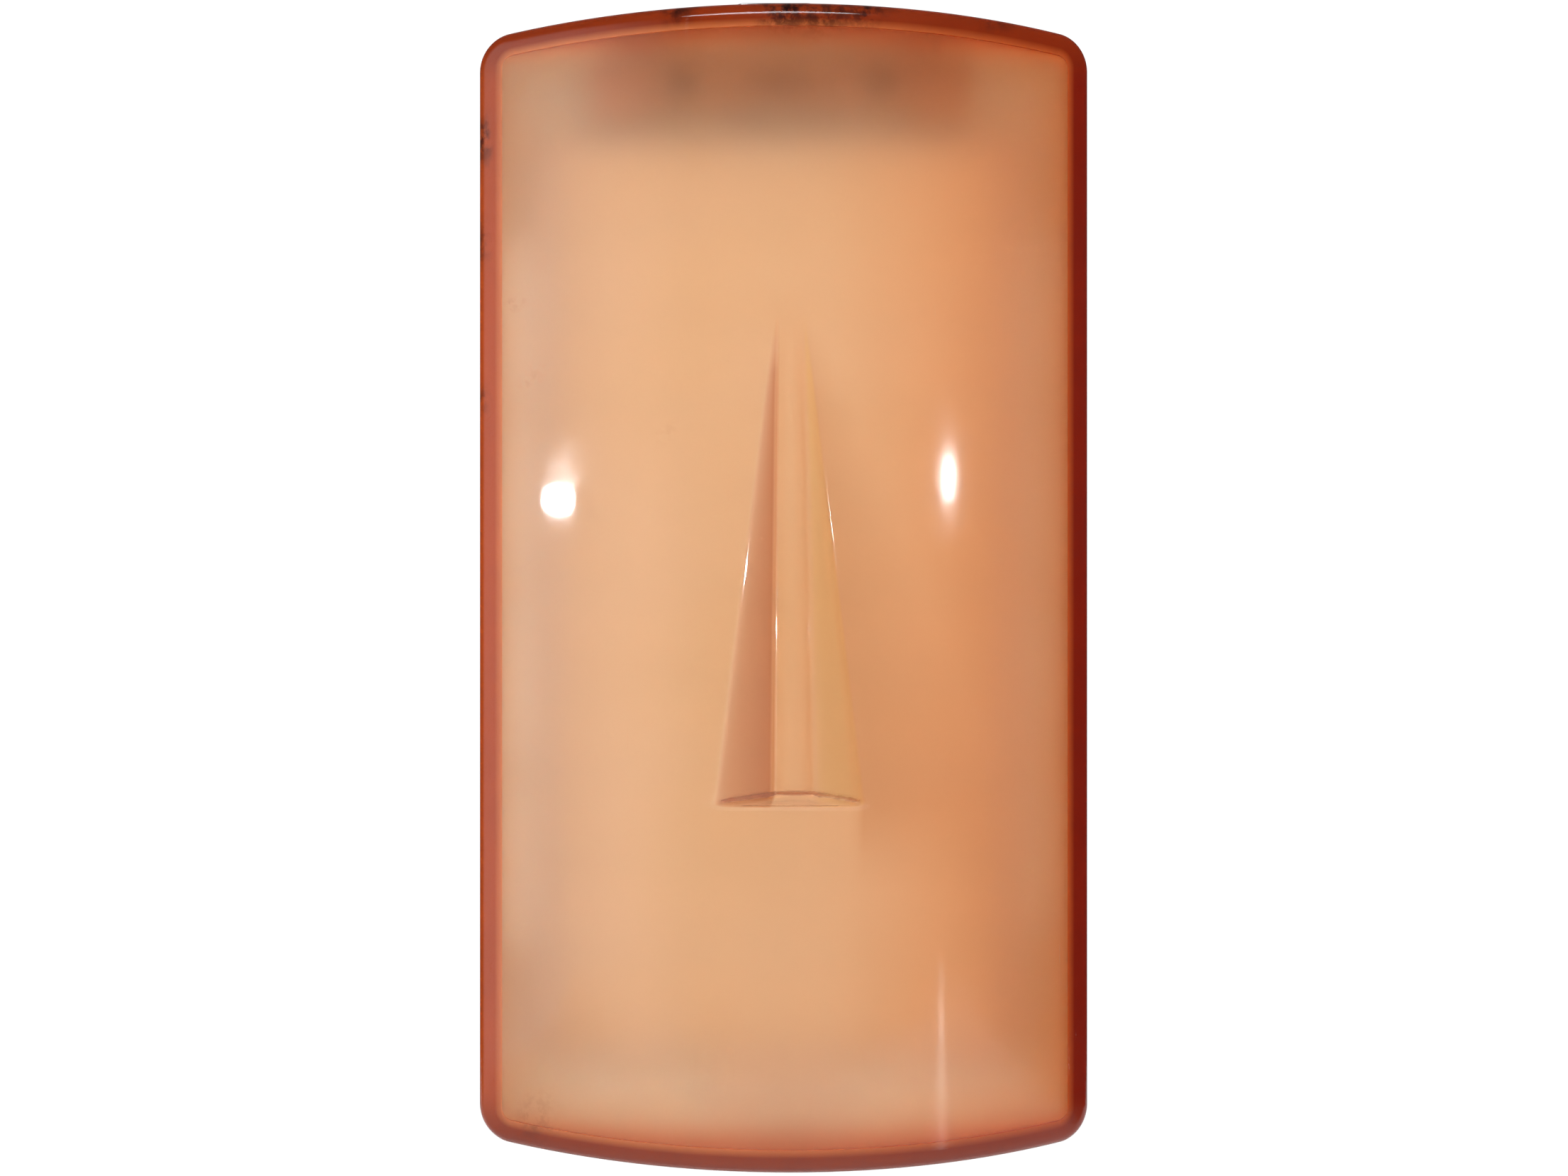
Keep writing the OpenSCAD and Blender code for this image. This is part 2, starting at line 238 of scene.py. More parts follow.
def noiseNode(tree, scale, detail=3.0, roughness=0.5, stretch=(1, 1, 1), offset=(0, 0, 0), distortion=0.0):
    coordinates = addNode(tree, "TexCoord")
    mapping = addNode(tree, "Mapping")
    mapping.inputs["Scale"].default_value = stretch
    mapping.inputs["Location"].default_value = offset
    tree.links.new(coordinates.outputs["Object"], mapping.inputs["Vector"])
    noise = addNode(tree, "TexNoise")
    tree.links.new(mapping.outputs["Vector"], noise.inputs["Vector"])
    if isinstance(scale, (int, float)):
        noise.inputs["Scale"].default_value = scale
    else:
        tree.links.new(scale, noise.inputs["Scale"])
    noise.inputs["Detail"].default_value = detail
    noise.inputs["Roughness"].default_value = roughness
    noise.inputs["Distortion"].default_value = distortion
    return noise.outputs["Fac"]


# fine moulded grain: height and a mottling mask
def makeGrainGroup():
    group, start, end = newGroup("mouldedGrain", {"Scale": 900, "Mottling": 60}, ["Height", "Mottle"])
    fine = noiseNode(group, start.outputs["Scale"], detail=2)
    coarse = noiseNode(group, start.outputs["Mottling"], detail=4, roughness=0.6)
    group.links.new(fine, end.inputs["Height"])
    group.links.new(rampNode(group, coarse, 0.32, 0.68), end.inputs["Mottle"])
    return group


# long thin scratches mostly along Z, with a few across them
def makeScratchGroup():
    group, start, end = newGroup("fineScratches", {"Scale": 90, "Amount": 0.5}, ["Scratch"])
    long = noiseNode(group, start.outputs["Scale"], detail=5, roughness=0.7, stretch=(9, 9, 0.5))
    cross = noiseNode(
        group, start.outputs["Scale"], detail=5, roughness=0.7, stretch=(1.2, 1, 7), offset=(3, 1, 2)
    )
    patches = noiseNode(group, 22, detail=2, offset=(1, 5, 3))
    lines = mathNode(group, "MAXIMUM", rampNode(group, long, 0.64, 0.74), rampNode(group, cross, 0.7, 0.78))
    masked = mathNode(group, "MULTIPLY", lines, rampNode(group, patches, 0.42, 0.62))
    group.links.new(mathNode(group, "MULTIPLY", masked, start.outputs["Amount"]), end.inputs["Scratch"])
    return group


# dust that lies on faces that look up, broken up by noise
def makeDustGroup():
    group, start, end = newGroup("settledDust", {"Amount": 0.5}, ["Dust"])
    geometry = addNode(group, "NewGeometry")
    parts = addNode(group, "SeparateXYZ")
    group.links.new(geometry.outputs["Normal"], parts.inputs["Vector"])
    upward = rampNode(group, parts.outputs["Z"], 0.2, 0.95)
    cloud = noiseNode(group, 130, detail=5, roughness=0.65)
    specks = noiseNode(group, 1400, detail=1)
    lying = mathNode(group, "MULTIPLY", upward, rampNode(group, cloud, 0.3, 0.7))
    spotted = mathNode(group, "MULTIPLY", rampNode(group, specks, 0.6, 0.7), 0.35)
    both = mathNode(group, "ADD", lying, spotted, clampResult=True)
    group.links.new(mathNode(group, "MULTIPLY", both, start.outputs["Amount"]), end.inputs["Dust"])
    return group


# brushed or rolled metal: streaks along Z and dull blotches
def makeMetalGroup():
    group, start, end = newGroup("platedMetal", {"Scale": 300}, ["Streak", "Blotch"])
    streak = noiseNode(group, start.outputs["Scale"], detail=3, stretch=(6, 6, 0.35))
    blotch = noiseNode(group, 170, detail=5, roughness=0.7, distortion=0.6)
    group.links.new(streak, end.inputs["Streak"])
    group.links.new(rampNode(group, blotch, 0.35, 0.7), end.inputs["Blotch"])
    return group


grainGroup = makeGrainGroup()
scratchGroup = makeScratchGroup()
dustGroup = makeDustGroup()
metalGroup = makeMetalGroup()


def newMaterial(name):
    material = bpy.data.materials.new(name)
    material.use_nodes = True
    tree = material.node_tree
    return material, tree, tree.nodes["Principled BSDF"]


def useGroup(tree, group, **values):
    node = addNode(tree, "Group", node_tree=group)
    for name, value in values.items():
        node.inputs[name].default_value = value
    return node.outputs


def blendColour(tree, factor, first, second, blendType="MIX"):
    node = addNode(tree, "Mix", data_type="RGBA", blend_type=blendType)
    if isinstance(factor, (int, float)):
        node.inputs[0].default_value = factor
    else:
        tree.links.new(factor, node.inputs[0])
    for index, colour in ((6, first), (7, second)):
        if isinstance(colour, tuple):
            node.inputs[index].default_value = (*colour, 1)
        else:
            tree.links.new(colour, node.inputs[index])
    return node.outputs[2]


def bumpFrom(tree, shader, height, strength, distance):
    bump = addNode(tree, "Bump")
    bump.inputs["Strength"].default_value = strength
    bump.inputs["Distance"].default_value = distance
    tree.links.new(height, bump.inputs["Height"])
    tree.links.new(bump.outputs["Normal"], shader.inputs["Normal"])


plasticDust = (0.62, 0.57, 0.48)


def mouldedPlastic(name, look):
    material, tree, shader = newMaterial(name)
    grain = useGroup(tree, grainGroup, Scale=look["grain"], Mottling=60)
    scratches = useGroup(tree, scratchGroup, Amount=look.get("scratches", 0.5))
    dust = useGroup(tree, dustGroup, Amount=look["dust"])
    body = blendColour(tree, grain["Mottle"], look["colour"], look["shade"])
    worn = blendColour(tree, scratches["Scratch"], body, look["worn"])
    dusty = blendColour(tree, dust["Dust"], worn, plasticDust)
    tree.links.new(dusty, shader.inputs["Base Color"])
    rough = rampNode(tree, grain["Mottle"], 0, 1, look["rough"] - 0.06, look["rough"] + 0.06)
    rough = mathNode(tree, "ADD", rough, mathNode(tree, "MULTIPLY", dust["Dust"], 0.3), clampResult=True)
    tree.links.new(rough, shader.inputs["Roughness"])
    height = mathNode(tree, "SUBTRACT", grain["Height"], scratches["Scratch"])
    bumpFrom(tree, shader, height, look.get("bump", 0.35), 0.05 * mm)
    shader.inputs["IOR"].default_value = 1.5
    shader.inputs["Subsurface Weight"].default_value = look.get("glow", 0.0)
    shader.inputs["Subsurface Radius"].default_value = (1.0, 0.9, 0.8)
    shader.inputs["Subsurface Scale"].default_value = 4 * mm
    return material


def platedSteel(name, look):
    material, tree, shader = newMaterial(name)
    metal = useGroup(tree, metalGroup, Scale=look["streaks"])
    dust = useGroup(tree, dustGroup, Amount=look["dust"])
    body = blendColour(tree, metal["Blotch"], look["colour"], look["shade"])
    tree.links.new(blendColour(tree, dust["Dust"], body, look["dustColour"]), shader.inputs["Base Color"])
    rough = rampNode(tree, metal["Blotch"], 0, 1, look["rough"], look["rough"] + 0.2)
    tree.links.new(rough, shader.inputs["Roughness"])
    shader.inputs["Metallic"].default_value = look["metallic"]
    bumpFrom(tree, shader, metal["Streak"], 0.25, 0.03 * mm)
    return material


# see-through amber plastic: smooth outside, frosted inside, with marks from years of handling;
# the bump heights are shares of its distance
amberLook = {
    "outerRough": 0.075,
    "innerRough": 0.56,
    "stain": (0.34, 0.22, 0.16),
    "scuffTint": (0.93, 0.9, 0.88),
    "absorbColour": (0.98, 0.65, 0.33, 1),
    "absorbDensity": 300,
    "waveHeight": 6.0,
    "scratchHeight": 5.0,
    "dentHeight": 1.6,
    "bump": 0.35,
    "bumpDistance": 0.02 * mm,
}


def amberPlastic():
    material, tree, shader = newMaterial("amberPlastic")
    look = amberLook
    frost = addNode(tree, "Attribute", attribute_name="frost")
    marks = addNode(tree, "Attribute", attribute_name="handling")
    # the tint attribute carries painted shade, painted light and a painted shadow from tintShape
    tint = addNode(tree, "Attribute", attribute_name="tint")
    grain = useGroup(tree, grainGroup, Scale=700, Mottling=26)
    scratches = useGroup(tree, scratchGroup, Amount=1.0)
    outside = mathNode(tree, "SUBTRACT", 1.0, frost.outputs["Fac"], clampResult=True)
    lines = mathNode(tree, "MULTIPLY", scratches["Scratch"], outside)
    grime = rampNode(tree, noiseNode(tree, 420, detail=4, roughness=0.7), 0.42, 0.6)
    stain = mathNode(tree, "MULTIPLY", marks.outputs["Fac"], grime, clampResult=True)
    scuffed = mathNode(tree, "MULTIPLY", lines, 0.5)
    tinted = blendColour(tree, scuffed, tint.outputs["Color"], look["scuffTint"])
    tree.links.new(blendColour(tree, stain, tinted, look["stain"]), shader.inputs["Base Color"])
    smooth = rampNode(tree, grain["Mottle"], 0, 1, look["outerRough"] - 0.03, look["outerRough"] + 0.04)
    smooth = mathNode(tree, "ADD", smooth, mathNode(tree, "MULTIPLY", lines, 0.25))
    rough = rampNode(tree, frost.outputs["Fac"], 0, 1, smooth, look["innerRough"])
    tree.links.new(rough, shader.inputs["Roughness"])
    waves = noiseNode(tree, 34, detail=2, stretch=(1, 1, 0.4))
    dents = noiseNode(tree, 230, detail=3, roughness=0.6)
    height = mathNode(tree, "MULTIPLY", waves, look["waveHeight"])
    for relief, size in ((lines, look["scratchHeight"]), (dents, look["dentHeight"])):
        height = mathNode(tree, "ADD", height, mathNode(tree, "MULTIPLY", relief, size))
    bumpFrom(tree, shader, height, look["bump"], look["bumpDistance"])
    shader.inputs["Transmission Weight"].default_value = 1
    shader.inputs["IOR"].default_value = 1.49
    volume = addNode(tree, "VolumeAbsorption")
    volume.inputs["Color"].default_value = look["absorbColour"]
    volume.inputs["Density"].default_value = look["absorbDensity"]
    tree.links.new(volume.outputs["Volume"], tree.nodes["Material Output"].inputs["Volume"])
    return material


# the deep amber of the cover's thick walls, with painted light making it paler to the left and painted
# shade deeper to the right
def amberCore():
    material, tree, shader = newMaterial("amberCore")
    coordinates = addNode(tree, "TexCoord")
    parts = addNode(tree, "SeparateXYZ")
    tree.links.new(coordinates.outputs["Object"], parts.inputs["Vector"])
    grain = useGroup(tree, grainGroup, Scale=600, Mottling=45)
    toRight = rampNode(tree, parts.outputs["X"], -coverShape["halfWidth"], coverShape["halfWidth"])
    sides = blendColour(tree, toRight, rimCore["left"], rimCore["right"])
    height = mathNode(tree, "ABSOLUTE", parts.outputs["Z"])
    nearEnds = [coverShape["halfHeight"] - away for away in rimCore["endFade"]]
    toEnds = rampNode(tree, height, *nearEnds)
    outer = blendColour(tree, toEnds, sides, rimCore["ends"])
    within = blendColour(tree, toRight, rimCore["innerLeft"], rimCore["innerRight"])
    inward = addNode(tree, "Attribute", attribute_name="inward")
    body = blendColour(tree, inward.outputs["Fac"], outer, within)
    darker = blendColour(tree, grain["Mottle"], body, rimCore["mottle"], "MULTIPLY")
    mottled = blendColour(tree, 0.6, body, darker)
    marks = addNode(tree, "Attribute", attribute_name="handling")
    grime = rampNode(tree, noiseNode(tree, 420, detail=4, roughness=0.7), 0.4, 0.58)
    stain = mathNode(tree, "MULTIPLY", marks.outputs["Fac"], grime, clampResult=True)
    tree.links.new(blendColour(tree, stain, mottled, rimCore["stain"]), shader.inputs["Base Color"])
    tree.links.new(rampNode(tree, grain["Mottle"], 0, 1, 0.45, 0.6), shader.inputs["Roughness"])
    shader.inputs["Specular IOR Level"].default_value = 0.1
    bumpFrom(tree, shader, grain["Height"], 0.2, 0.03 * mm)
    return material


boardPrint = {
    "pitch": 20 * mm,
    "line": 0.35 * mm,
    "ink": (0.26, 0.33, 0.28),
    "card": ((0.93, 0.92, 0.88), (0.88, 0.86, 0.8)),
    "glue": ((0.95, 0.9, 0.75), (0.93, 0.86, 0.66)),
}


# a square grid of thin lines on X and Z, for counting the catch
def gridLines(tree):
    coordinates = addNode(tree, "TexCoord")
    parts = addNode(tree, "SeparateXYZ")
    tree.links.new(coordinates.outputs["Object"], parts.inputs["Vector"])
    found = []
    for axis in ("X", "Z"):
        near = mathNode(tree, "PINGPONG", parts.outputs[axis], boardPrint["pitch"] / 2)
        found.append(rampNode(tree, near, boardPrint["line"] * 0.4, boardPrint["line"] * 0.7, 1.0, 0.0))
    return mathNode(tree, "MAXIMUM", *found)


def boardCard():
    material, tree, shader = newMaterial("boardCard")
    fibres = noiseNode(tree, 500, detail=5, roughness=0.7, stretch=(1, 1, 4))
    body = blendColour(tree, rampNode(tree, fibres, 0.3, 0.7), *boardPrint["card"])
    tree.links.new(blendColour(tree, gridLines(tree), body, boardPrint["ink"]), shader.inputs["Base Color"])
    tree.links.new(rampNode(tree, fibres, 0.3, 0.7, 0.5, 0.68), shader.inputs["Roughness"])
    bumpFrom(tree, shader, fibres, 0.3, 0.05 * mm)
    return material


def glueFilm():
    material, tree, shader = newMaterial("glueFilm")
    cloud = noiseNode(tree, 30, detail=5, roughness=0.6)
    ripples = noiseNode(tree, 190, detail=3, stretch=(1, 1, 0.3), distortion=0.5)
    body = blendColour(tree, rampNode(tree, cloud, 0.3, 0.7), *boardPrint["glue"])
    faded = mathNode(tree, "MULTIPLY", gridLines(tree), 0.7)
    tree.links.new(blendColour(tree, faded, body, boardPrint["ink"]), shader.inputs["Base Color"])
    tree.links.new(rampNode(tree, cloud, 0.3, 0.7, 0.1, 0.24), shader.inputs["Roughness"])
    shader.inputs["Coat Weight"].default_value = 0.6
    shader.inputs["Coat Roughness"].default_value = 0.08
    bumpFrom(tree, shader, ripples, 0.6, 0.12 * mm)
    return material


def softRubber(name, look):
    material, tree, shader = newMaterial(name)
    grain = useGroup(tree, grainGroup, Scale=1300, Mottling=90)
    dust = useGroup(tree, dustGroup, Amount=look["dust"])
    body = blendColour(tree, grain["Mottle"], look["colour"], look["shade"])
    tree.links.new(blendColour(tree, dust["Dust"], body, look["bloom"]), shader.inputs["Base Color"])
    rough = rampNode(tree, grain["Mottle"], 0, 1, look["rough"], look["rough"] + 0.12)
    tree.links.new(rough, shader.inputs["Roughness"])
    bumpFrom(tree, shader, grain["Height"], 0.4, 0.05 * mm)
    return material


materials = {
    "amber_plastic": amberPlastic(),
    "tray_plastic": mouldedPlastic("trayPlastic", {
        "colour": (0.95, 0.93, 0.88), "shade": (0.91, 0.88, 0.82), "worn": (0.78, 0.74, 0.66),
        "rough": 0.42, "grain": 900, "dust": 0.35, "scratches": 0.4, "glow": 0.9,
    }),
    "dark_plastic": mouldedPlastic("darkPlastic", {
        "colour": (0.6, 0.4, 0.29), "shade": (0.52, 0.35, 0.25), "worn": (0.68, 0.52, 0.42),
        "rough": 0.5, "grain": 1100, "dust": 0.3, "bump": 0.5,
    }),
    "cage_plastic": mouldedPlastic("cagePlastic", {
        "colour": (0.88, 0.87, 0.82), "shade": (0.83, 0.81, 0.74), "worn": (0.74, 0.7, 0.62),
        "rough": 0.3, "grain": 800, "dust": 0.2,
    }),
    "zinc_steel": platedSteel("zincSteel", {
        "colour": (0.72, 0.73, 0.76), "shade": (0.58, 0.59, 0.6), "dustColour": (0.5, 0.47, 0.42),
        "rough": 0.26, "streaks": 320, "dust": 0.25, "metallic": 1.0,
    }),
    "black_steel": platedSteel("blackSteel", {
        "colour": (0.2, 0.18, 0.17), "shade": (0.15, 0.14, 0.13), "dustColour": (0.4, 0.36, 0.31),
        "rough": 0.45, "streaks": 500, "dust": 0.2, "metallic": 0.4,
    }),
    "seal_rubber": softRubber("sealRubber", {
        "colour": (0.84, 0.72, 0.56), "shade": (0.78, 0.65, 0.48), "bloom": (0.86, 0.8, 0.7),
        "rough": 0.6, "dust": 0.2,
    }),
    "septum_rubber": softRubber("septumRubber", {
        "colour": (0.5, 0.13, 0.07), "shade": (0.42, 0.1, 0.06), "bloom": (0.72, 0.5, 0.42),
        "rough": 0.65, "dust": 0.3,
    }),
    "board_card": boardCard(),
    "glue": glueFilm(),
}
print("materials made:", len(materials))


def bulgeRadius():
    shape = coverShape
    return (shape["halfWidth"] ** 2 + shape["bulge"] ** 2) / (2 * shape["bulge"])


def bulgeDepth(x, inward):
    radius = bulgeRadius()
    return coverShape["front"] - radius + math.sqrt((radius - inward) ** 2 - x * x)


# half-widths of the bar, of the top of the slopes and of the wedge's base at a height
def wedgeWidths(z):
    along = clamp((wedgeShape["top"] - z) / (wedgeShape["top"] - wedgeShape["foot"]))
    bar = mix(*wedgeShape["barHalf"], along)
    return bar, bar + wedgeShape["barFlare"], mix(*wedgeShape["baseHalf"], along)


def wedgeHeight(x, z, inward):
    shape = wedgeShape
    bar, slopeTop, base = wedgeWidths(z)
    ridge = shape["rise"] * (shape["top"] - z) / (shape["top"] - shape["foot"] - shape["draft"])
    share = clamp(ridge / shape["rise"])
    proud = shape["barProud"] * share
    steepness = max(ridge - proud, 0.01 * mm) / (base - slopeTop)
    slope = (base - abs(x)) * steepness
    wallShare = shape["rise"] / shape["draft"]
    if inward:
        slope -= inward * (math.sqrt(1 + steepness * steepness) - 1)
        body = softMin(slope, ridge - proud / 2, shape["innerSoften"])
        footWall = (z - shape["foot"] - shape["footWall"]) * wallShare
    else:
        bank = softMin(slope, ridge - proud, shape["soften"] / 2)
        barSide = (slopeTop - abs(x)) * shape["barSteepness"] + ridge - proud
        body = softMax(bank, softMin(barSide, ridge, shape["soften"] / 2), shape["soften"] / 2)
        footWall = (z - shape["foot"]) * wallShare
    body = softMin(body, footWall, shape["footSoften"])
    nearFoot = clamp(1 - (z - shape["foot"]) / shape["footReach"])
    return softMax(body, 0, mix(shape["soften"], shape["footBlend"], nearFoot))


def frontDepth(x, z, inward):
    return bulgeDepth(x, inward) + wedgeHeight(x, z, inward)


# a point of the outline's first corner and the outward normal there
def cornerPoint(share):
    shape = coverShape
    cx = shape["halfWidth"] - shape["cornerRadius"]
    ez = shape["halfHeight"] - shape["endRadius"]
    cz = ez + math.sqrt((shape["endRadius"] - shape["cornerRadius"]) ** 2 - cx * cx)
    angle = math.atan2(cz - ez, cx) * share
    normal = Vector((math.cos(angle), math.sin(angle)))
    return Vector((cx, cz)) + normal * shape["cornerRadius"], normal


def endPoint(x):
    shape = coverShape
    ez = shape["halfHeight"] - shape["endRadius"]
    up = math.sqrt(shape["endRadius"] ** 2 - x * x)
    return Vector((x, ez + up)), Vector((x, up)).normalized()


# the front's columns and rows: shares of a part's width or height, steps in millimetres, or a count of
# even steps
frontSteps = {
    "bar": (0.35, 0.65, 0.82, 0.91, 0.96, 1.0),
    "barSide": (0.5, 1.0),
    "slope": (0.04, 0.1, 0.28, 0.5, 0.72, 0.88, 0.95, 1.0),
    "beside": (0.4, 0.9, 1.6),
    "toCorner": 14,
    "underFoot": (-4, -2.2, -1.2, -0.6, -0.2),
    "footWall": [step / 14 for step in range(1, 22)] + [1.7, 2.1, 2.6],
    "ridge": 22,
    "apexReach": 8 * mm,
    "apex": (1.4 * mm, 13),
    "above": 6,
    "below": 9,
}


def columnPlaces(z):
    bar, slopeTop, base = wedgeWidths(z)
    steps = coverShape["cornerSteps"]
    cornerStart = coverShape["halfWidth"] - coverShape["cornerRadius"]
    half = [bar * share for share in frontSteps["bar"]]
    half += [mix(bar, slopeTop, share) for share in frontSteps["barSide"]]
    half += [mix(slopeTop, base, share) for share in frontSteps["slope"]]
    half += [base + extra * mm for extra in frontSteps["beside"]]
    count = frontSteps["toCorner"]
    half += [mix(half[-1], cornerStart, step / count) for step in range(1, count + 1)]
    half += [cornerStart + coverShape["cornerRadius"] * step / steps for step in range(1, steps + 1)]
    return [-x for x in reversed(half)] + [0.0] + half


def rowPlaces():
    shape = wedgeShape
    cornerZ = cornerPoint(0)[0].y
    near = [shape["foot"] + step * mm for step in frontSteps["underFoot"]]
    near += [shape["foot"] + shape["draft"] * share for share in frontSteps["footWall"]]
    span = shape["top"] - frontSteps["apexReach"] - near[-1]
    count = frontSteps["ridge"]
    up = [near[-1] + span * step / count for step in range(1, count + 1)]
    apexStep, count = frontSteps["apex"]
    apex = [up[-1] + step * apexStep for step in range(1, count + 1)]
    count = frontSteps["above"]
    above = [mix(apex[-1], cornerZ, step / count) for step in range(1, count + 1)]
    count = frontSteps["below"]
    below = [mix(-cornerZ, near[0], step / count) for step in range(count)]
    return below + near + up + apex + above


def flipped(pair, sideways, upright):
    return tuple(Vector((v.x * sideways, v.y * upright)) for v in pair)


# one row of a round corner and bowed end: bent from the last straight row to the outline
def bentRow(share, upright, base, endColumns, insetAt):
    def edgePoint(pair):
        return pair[0] - pair[1] * insetAt(*pair)

    count = len(endColumns)
    steps = coverShape["cornerSteps"]
    right = flipped(cornerPoint(0.5 * share), 1, upright)
    left = flipped(cornerPoint(0.5 * share), -1, upright)
    ends = []
    for column in range(count):
        fromCorner = min(column, count - 1 - column)
        if fromCorner < steps:
            pair = cornerPoint(0.5 + 0.5 * fromCorner / steps)
        else:
            pair = endPoint(abs(endColumns[column]))
        ends.append(flipped(pair, -1 if column < count / 2 else 1, upright))
    endEdge = [edgePoint(pair) for pair in ends]
    leftEdge, rightEdge = edgePoint(left), edgePoint(right)
    row = []
    for column in range(count):
        u = (base[column].x - base[0].x) / (base[-1].x - base[0].x)
        straight = base[column] * (1 - share) + endEdge[column] * share
        sides = leftEdge * (1 - u) + rightEdge * u
        lowCorners = base[0] * (1 - u) + base[-1] * u
        highCorners = endEdge[0] * (1 - u) + endEdge[-1] * u
        row.append(straight + sides - lowCorners * (1 - share) - highCorners * share)
    return row, left, right, ends


# every vertex of the front as (x, z), with the outline point and normal of each border vertex
def frontLayout(insetAt):
    steps = coverShape["cornerSteps"]
    rows = rowPlaces()
    endColumns = columnPlaces(rows[-1])
    last = len(endColumns) - 1
    table, border = [], {}
    for z in rows:
        row = [Vector((x, z)) for x in columnPlaces(z)]
        for column, side in ((0, -1), (last, 1)):
            pair = (Vector((side * coverShape["halfWidth"], z)), Vector((side, 0)))
            row[column] = pair[0] - pair[1] * insetAt(*pair)
            border[(column, len(table) + steps)] = pair
        table.append(row)
    above = [bentRow(step / steps, 1, table[-1], endColumns, insetAt) for step in range(1, steps + 1)]
    below = [bentRow(step / steps, -1, table[0], endColumns, insetAt) for step in range(steps, 0, -1)]
    full = [bent[0] for bent in below] + table + [bent[0] for bent in above]
    for index, bent in enumerate(below):
        border[(0, index)], border[(last, index)] = bent[1], bent[2]
    for index, bent in enumerate(above):
        level = steps + len(table) + index
        border[(0, level)], border[(last, level)] = bent[1], bent[2]
    for column in range(last + 1):
        border[(column, 0)] = below[0][3][column]
        border[(column, len(full) - 1)] = above[-1][3][column]
    return full, border


def edgeTilt(point, normal, inward):
    radius = bulgeRadius() - inward
    return math.atan(abs(point.x * normal.x) / math.sqrt(radius * radius - point.x * point.x))


# the round edge between a front surface and a side wall, as inset and depth at a share of its turn
def roundedEdge(point, normal, wallInset, radius, inward, share):
    tilt = edgeTilt(point, normal, inward)
    start = point - normal * (wallInset + radius * (1 - math.sin(tilt)))
    centre = bulgeDepth(start.x, inward) - radius * math.cos(tilt)
    angle = mix(tilt, math.pi / 2, share)
    return wallInset + radius * (1 - math.sin(angle)), centre + radius * math.cos(angle)


def frontGrid(name, inward, wallInset, radius):
    def insetAt(point, normal):
        return roundedEdge(point, normal, wallInset, radius, inward, 0)[0]

    table, border = frontLayout(insetAt)
    across, up = len(table[0]), len(table)
    bpy.ops.mesh.primitive_grid_add(
        x_subdivisions=across - 1, y_subdivisions=up - 1, size=0.2, rotation=(math.pi / 2, 0, 0)
    )
    grid = newPiece(name)
    bakePlace(grid)
    for index, vertex in enumerate(grid.data.vertices):
        spot = table[index // across][index % across]
        vertex.co = (spot.x, -frontDepth(spot.x, spot.y, inward), spot.y)
    return grid, {row * across + column: pair for (column, row), pair in border.items()}


def placeKey(point):
    return tuple(round(value, 7) for value in point)


# extrudes the open border once and moves each new point to where placeOf puts it
def extrudeBorder(piece, ring, placeOf):
    makeActive(piece)
    mesh = piece.data
    before = len(mesh.vertices)
    sources = {placeKey(mesh.vertices[index].co): index for index in ring}
    faceCount = {}
    for polygon in mesh.polygons:
        polygon.select = False
        for key in polygon.edge_keys:
            faceCount[key] = faceCount.get(key, 0) + 1
    for vertex in mesh.vertices:
        vertex.select = vertex.index in ring
    for edge in mesh.edges:
        onRing = edge.vertices[0] in ring and edge.vertices[1] in ring
        edge.select = onRing and faceCount.get(tuple(sorted(edge.vertices)), 0) == 1
    bpy.ops.object.mode_set(mode="EDIT")
    bpy.ops.mesh.select_mode(type="EDGE")
    bpy.ops.mesh.extrude_edges_move()
    bpy.ops.object.mode_set(mode="OBJECT")
    newRing = {}
    for vertex in piece.data.vertices[before:]:
        point, normal = ring[sources[placeKey(vertex.co)]]
        inset, depth = placeOf(point, normal)
        spot = point - normal * inset
        vertex.co = (spot.x, -depth, spot.y)
        newRing[vertex.index] = (point, normal)
    return newRing


# places on the rim and face where hands and branches have left marks: x, z and reach in millimetres,
# and strength
handlingMarks = (
    (-1, 121, 6, 1.0), (-23, 120.6, 3.4, 0.9), (6, 121, 7, 0.8), (15, 120.9, 5, 0.9), (44, 119.2, 3, 0.5),
    (-64, 96, 1.6, 0.8), (-64.5, 74, 1.2, 0.6), (-64.4, 41, 1.4, 0.7), (-53, -112, 4, 0.35),
    (-54, 45, 1.2, 0.5), (-25, 31, 1.6, 0.5), (-13, 6, 1.0, 0.6), (-58, 60, 1.2, 0.5),
)


# the ring inside the walls: how far under the shell's surface it lies, how far it reaches inwards and back,
# and its colours, which go from painted light on the left to painted shade on the right
rimCore = {
    "gap": 0.4 * mm,
    "reach": 5.0 * mm,
    "depth": 3.6 * mm,
    "left": (0.52, 0.105, 0.014),
    "right": (0.3, 0.018, 0.0),
    "ends": (0.34, 0.05, 0.004),
    "stain": (0.05, 0.015, 0.01),
    "innerLeft": (0.78, 0.34, 0.15),
    "innerRight": (0.66, 0.2, 0.06),
    "mottle": (0.86, 0.8, 0.76),
    "endFade": (14 * mm, 4 * mm),
    "fringe": 0.55 * mm,
    "fringeSteps": 4,
    "roundSteps": 4,
    "under": 0.6 * mm,
}
